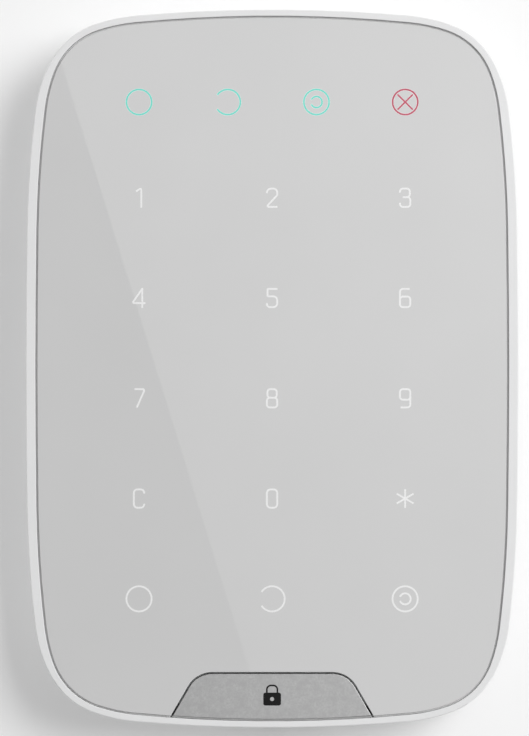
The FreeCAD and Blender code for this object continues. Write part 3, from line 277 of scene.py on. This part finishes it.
def stage_finish(name, colour):
    """Matt studio paper that shows only its front, so that the back views stay open."""
    f = Finish(name)
    clouds = f.noise(400 * MM, 2.0)
    tooth = f.noise(1.2 * MM, 2.0)
    f.paint(f.mixed(f.ramp(clouds, 0, 1), shade(colour, 0.995), colour))
    f.roughen(f.ramp(tooth, 0.85, 0.95))
    f.relief((tooth, "Fac", 0.02 * MM, 0.15))
    f.set(Specular_IOR_Level=0.2)
    side = f.node("ShaderNodeNewGeometry")
    clear = f.node("ShaderNodeBsdfTransparent")
    choose = f.node("ShaderNodeMixShader")
    f.link(side, "Backfacing", choose, 0)
    f.link(f.shader, "BSDF", choose, 1)
    f.link(clear, "BSDF", choose, 2)
    f.link(choose, "Shader", f.output, "Surface")
    return f.material


WHITE = (0.728, 0.730, 0.733)
BRACKET = (0.60, 0.603, 0.606)
PANEL = (0.585, 0.585, 0.585)
LEGEND = (0.785, 0.785, 0.785)
CYAN = (0.155, 0.68, 0.57)
RED = (0.48, 0.070, 0.120)

finishes = {
    "casing_white": moulded("casing_white", WHITE, wear=0.03),
    "bracket_white": moulded("bracket_white", BRACKET, (0.5, 0.62), 0.35 * MM, 0.03 * MM, 0.07),
    # The panel's edges get a painted highlight, 0.6 brighter than the panel.
    "panel_grey": glossy("panel_grey", PANEL, painted_edge_highlight=0.6),
    # Legend and icons carry a faint painted glow, strength 0.02.
    "legend_white": printed("legend_white", LEGEND, 0.02),
    "icon_cyan": printed("icon_cyan", CYAN, 0.02),
    "icon_red": printed("icon_red", RED, 0.02),
    "badge_metal": badge_finish("badge_metal", (0.405, 0.405, 0.405)),
    "emblem_black": glossy("emblem_black", (0.004, 0.004, 0.004), (0.06, 0.12), 0.2, specular=0.16),
    "bonding_tape": moulded("bonding_tape", (0.03, 0.03, 0.03), (0.7, 0.85), 0.4 * MM, 0.02 * MM),
    "clear_film": clear_finish("clear_film", (0.93, 0.95, 0.96)),
    "board_green": board_finish("board_green", (0.02, 0.12, 0.045)),
    "copper": metal("copper", (0.80, 0.42, 0.27), (0.25, 0.4)),
    "lamp_white": printed("lamp_white", (0.86, 0.84, 0.72)),
    "chip_black": moulded("chip_black", (0.018, 0.018, 0.02), (0.45, 0.6), 0.1 * MM, 0.006 * MM),
    "tinned_steel": metal("tinned_steel", (0.62, 0.62, 0.60), (0.28, 0.45)),
    "passive_tan": moulded("passive_tan", (0.30, 0.21, 0.12), (0.45, 0.6), 0.15 * MM),
    "switch_black": moulded("switch_black", (0.03, 0.03, 0.032), (0.4, 0.5), 0.2 * MM),
    "spring_steel": metal("spring_steel", (0.58, 0.57, 0.55), (0.22, 0.35), 0.2 * MM),
    "cell_wrap": glossy("cell_wrap", (0.05, 0.10, 0.22), (0.18, 0.28), 0.08),
    "contact_nickel": metal("contact_nickel", (0.66, 0.63, 0.57), (0.2, 0.34)),
    "screw_steel": metal("screw_steel", (0.56, 0.56, 0.56), (0.25, 0.4), 0.15 * MM),
    "button_grey": moulded("button_grey", (0.30, 0.31, 0.32), (0.4, 0.5), 0.25 * MM, wear=0.08),
}

for node in nodes.values():
    for slot in node.material_slots:
        key = slot.material.name.split(".")[0]
        slot.material = finishes[key]


# --- return springs -------------------------------------------------------------------------

SPRING_TURNS = 5
TURN_STEPS = 32
WIRE_SIDES = 12
WIRE_R = 0.14 * MM
SIDE_ROOM = 1.15        # wire radii from the CAD spring's outer side to the wire's middle
END_TURN = 0.5          # turns that lie nearly flat at each end
FLAT_RISE = 0.02        # share of the height that is gained evenly, flat ends included


def return_spring(name):
    """Coil of round wire with closed ends, in place of the CAD spring.
    """
    low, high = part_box(name)
    middle_x, middle_z = (low[0] + high[0]) / 2, (low[2] + high[2]) / 2
    radius = (high[0] - low[0]) / 2 - SIDE_ROOM * WIRE_R
    front, back = low[1] + WIRE_R, high[1] - WIRE_R
    mesh = bmesh.new()
    rings = []
    steps = SPRING_TURNS * TURN_STEPS
    for step in range(steps + 1):
        along = step / steps
        rise = min(max((along * SPRING_TURNS - END_TURN) / (SPRING_TURNS - 2 * END_TURN), 0), 1)
        centre_y = front + (back - front) * (FLAT_RISE * along + (1 - FLAT_RISE) * rise)
        turn = math.tau * along * SPRING_TURNS
        ring = []
        for side in range(WIRE_SIDES):
            around = math.tau * side / WIRE_SIDES
            out = radius + WIRE_R * math.cos(around)
            ring.append(mesh.verts.new((
                middle_x + out * math.cos(turn),
                centre_y + WIRE_R * math.sin(around),
                middle_z + out * math.sin(turn),
            )))
        rings.append(ring)
    for first, second in zip(rings, rings[1:]):
        for side in range(WIRE_SIDES):
            other = (side + 1) % WIRE_SIDES
            mesh.faces.new((first[side], first[other], second[other], second[side]))
    mesh.faces.new(rings[0][::-1])
    mesh.faces.new(rings[-1])
    bmesh.ops.recalc_face_normals(mesh, faces=mesh.faces)
    for face in mesh.faces:
        face.smooth = len(face.verts) == 4
    data = bpy.data.meshes.new(f"{name}_coil")
    mesh.to_mesh(data)
    mesh.free()
    data.materials.append(finishes["spring_steel"])
    coil = bpy.data.objects.new(f"{name}_coil", data)
    scene.collection.objects.link(coil)
    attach(coil, "keypad")
    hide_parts(name)
    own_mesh(coil)


return_spring("tamper_spring")
return_spring("power_spring")


# --- stage ----------------------------------------------------------------------------------

CURVE_STEPS = 12
PAPER = (0.93, 0.93, 0.93)

# The lit edge of the card falls on the panel as a diagonal between these points (X, Z).
DIAGONAL_TOP = Vector((-0.0452, 0.0715))
DIAGONAL_FOOT = Vector((0.0000, -0.0745))
CARD_AWAY = 1.15
CARD_RIGHT = 0.55
CARD_OVERRUN = 0.6

# Each is a start and an end, and the strength at each.
CARD_ACROSS = (-0.10, 0.14, 1.50, 2.15)
CARD_UPWARD = (-0.15, 0.12, 0.70, 1.12)
WORLD_BAND = (0.05, 0.30, 1.25, 0.51)

WORLD_LIGHT = (1.0, 1.0, 1.0, 1)
WORLD_SEEN = (0.72, 0.72, 0.73, 1)


def stage_sheet():
    """Wall behind the object that curves into a floor well below it."""
    half, top, middle, floor, reach, curve = 8.0, 3.0, 0.4, -0.85, 10.0, 0.45
    line = [(0.0, top), (0.0, middle), (0.0, floor + curve)]
    for step in range(1, CURVE_STEPS + 1):
        angle = math.radians(90) * step / CURVE_STEPS
        line.append((-curve * (1 - math.cos(angle)), floor + curve * (1 - math.sin(angle))))
    line.append((-reach, floor))
    mesh = bpy.data.meshes.new("stage_sheet")
    bm = bmesh.new()
    rows = []
    for y, z in line:
        rows.append([bm.verts.new((x, y, z)) for x in (-half, 0.0, half)])
    for low, high in zip(rows[1:], rows):
        for a in range(2):
            bm.faces.new((low[a], low[a + 1], high[a + 1], high[a]))
    bm.to_mesh(mesh)
    bm.free()
    for face in mesh.polygons:
        face.use_smooth = True
    sheet = bpy.data.objects.new("stage_sheet", mesh)
    scene.collection.objects.link(sheet)
    mesh.materials.append(stage_finish("stage_paper", PAPER))
    sheet.visible_shadow = False
    sheet.visible_diffuse = False
    sheet.visible_glossy = False
    sheet.visible_transmission = False


def reflection_card(lens_to_panel):
    """Bright card behind the camera that only gloss sees; its slanted edge crosses the panel."""
    scale = 1 + CARD_AWAY / lens_to_panel
    top_left = DIAGONAL_TOP * scale
    bottom_left = DIAGONAL_FOOT * scale
    slope = bottom_left - top_left
    upper = top_left - slope * CARD_OVERRUN
    lower = bottom_left + slope * CARD_OVERRUN
    corners = [upper, lower, (CARD_RIGHT, lower.y), (CARD_RIGHT, upper.y)]
    mesh = bpy.data.meshes.new("reflection_card")
    mesh.from_pydata([(x, -CARD_AWAY, z) for x, z in corners], [], [(0, 1, 2, 3)])
    card = bpy.data.objects.new("reflection_card", mesh)
    scene.collection.objects.link(card)
    material = bpy.data.materials.new("card_light")
    material.use_nodes = True
    tree = material.node_tree
    tree.nodes.clear()
    output = tree.nodes.new("ShaderNodeOutputMaterial")
    glow = tree.nodes.new("ShaderNodeEmission")
    place = tree.nodes.new("ShaderNodeTexCoord")
    parts = tree.nodes.new("ShaderNodeSeparateXYZ")
    across = mapped(tree, *CARD_ACROSS)
    upward = mapped(tree, *CARD_UPWARD)
    total = tree.nodes.new("ShaderNodeMath")
    total.operation = "MULTIPLY"
    tree.links.new(place.outputs["Object"], parts.inputs["Vector"])
    tree.links.new(parts.outputs["X"], across.inputs["Value"])
    tree.links.new(parts.outputs["Z"], upward.inputs["Value"])
    tree.links.new(across.outputs["Result"], total.inputs[0])
    tree.links.new(upward.outputs["Result"], total.inputs[1])
    tree.links.new(total.outputs["Value"], glow.inputs["Strength"])
    tree.links.new(glow.outputs["Emission"], output.inputs["Surface"])
    mesh.materials.append(material)
    card.visible_camera = False
    card.visible_diffuse = False
    card.visible_shadow = False
    card.visible_transmission = False


def studio_world():
    """Even pale light, stronger from above, below and the sides so that rounded edges catch it."""
    world = bpy.data.worlds.new("studio_world")
    scene.world = world
    world.use_nodes = True
    tree = world.node_tree
    tree.nodes.clear()
    output = tree.nodes.new("ShaderNodeOutputWorld")
    light = tree.nodes.new("ShaderNodeBackground")
    seen = tree.nodes.new("ShaderNodeBackground")
    choose = tree.nodes.new("ShaderNodeMixShader")
    path = tree.nodes.new("ShaderNodeLightPath")
    place = tree.nodes.new("ShaderNodeTexCoord")
    parts = tree.nodes.new("ShaderNodeSeparateXYZ")
    size = tree.nodes.new("ShaderNodeMath")
    band = mapped(tree, *WORLD_BAND)
    size.operation = "ABSOLUTE"
    band.interpolation_type = "SMOOTHSTEP"
    tree.links.new(place.outputs["Generated"], parts.inputs["Vector"])
    tree.links.new(parts.outputs["Y"], size.inputs[0])
    tree.links.new(size.outputs["Value"], band.inputs["Value"])
    tree.links.new(band.outputs["Result"], light.inputs["Strength"])
    light.inputs["Color"].default_value = WORLD_LIGHT
    seen.inputs["Color"].default_value = WORLD_SEEN
    tree.links.new(path.outputs["Is Camera Ray"], choose.inputs[0])
    tree.links.new(light.outputs["Background"], choose.inputs[1])
    tree.links.new(seen.outputs["Background"], choose.inputs[2])
    tree.links.new(choose.outputs["Shader"], output.inputs["Surface"])


def area_light(name, place, size, power):
    """Rectangular light that aims at the origin."""
    data = bpy.data.lights.new(name, "AREA")
    data.shape = "RECTANGLE"
    data.size, data.size_y = size
    data.energy = power
    lamp = bpy.data.objects.new(name, data)
    scene.collection.objects.link(lamp)
    lamp.location = place
    aim = -Vector(place)
    lamp.rotation_euler = aim.to_track_quat("-Z", "Y").to_euler()


# Focal length and sensor width in millimetres; the picture is VIEW_TALL high at SHARP_DEPTH.
LENS = 150.0
SENSOR = 36.0
VIEW_TALL = 153.97 * MM
VIEW_CENTRE = Vector((-1.59 * MM, 0.126 * MM))
SHARP_DEPTH = 13.0 * MM

camera_data = bpy.data.cameras.new("camera")
camera = bpy.data.objects.new("camera", camera_data)
scene.collection.objects.link(camera)
scene.camera = camera
camera_data.lens = LENS
camera_data.sensor_width = SENSOR
camera_distance = VIEW_TALL / 2 / (SENSOR / 2 / LENS)
camera.location = (VIEW_CENTRE.x, -SHARP_DEPTH - camera_distance, VIEW_CENTRE.y)
camera.rotation_euler = (math.radians(90), 0, 0)
camera_data.clip_start = 0.01

stage_sheet()
reflection_card(camera_distance)
studio_world()
area_light("key", place=(0.90, -0.95, 0.50), size=(1.0, 0.85), power=14.3)
area_light("back_fill", place=(-0.9, 0.55, 0.8), size=(0.7, 0.7), power=7.0)

scene.view_settings.view_transform = "Standard"
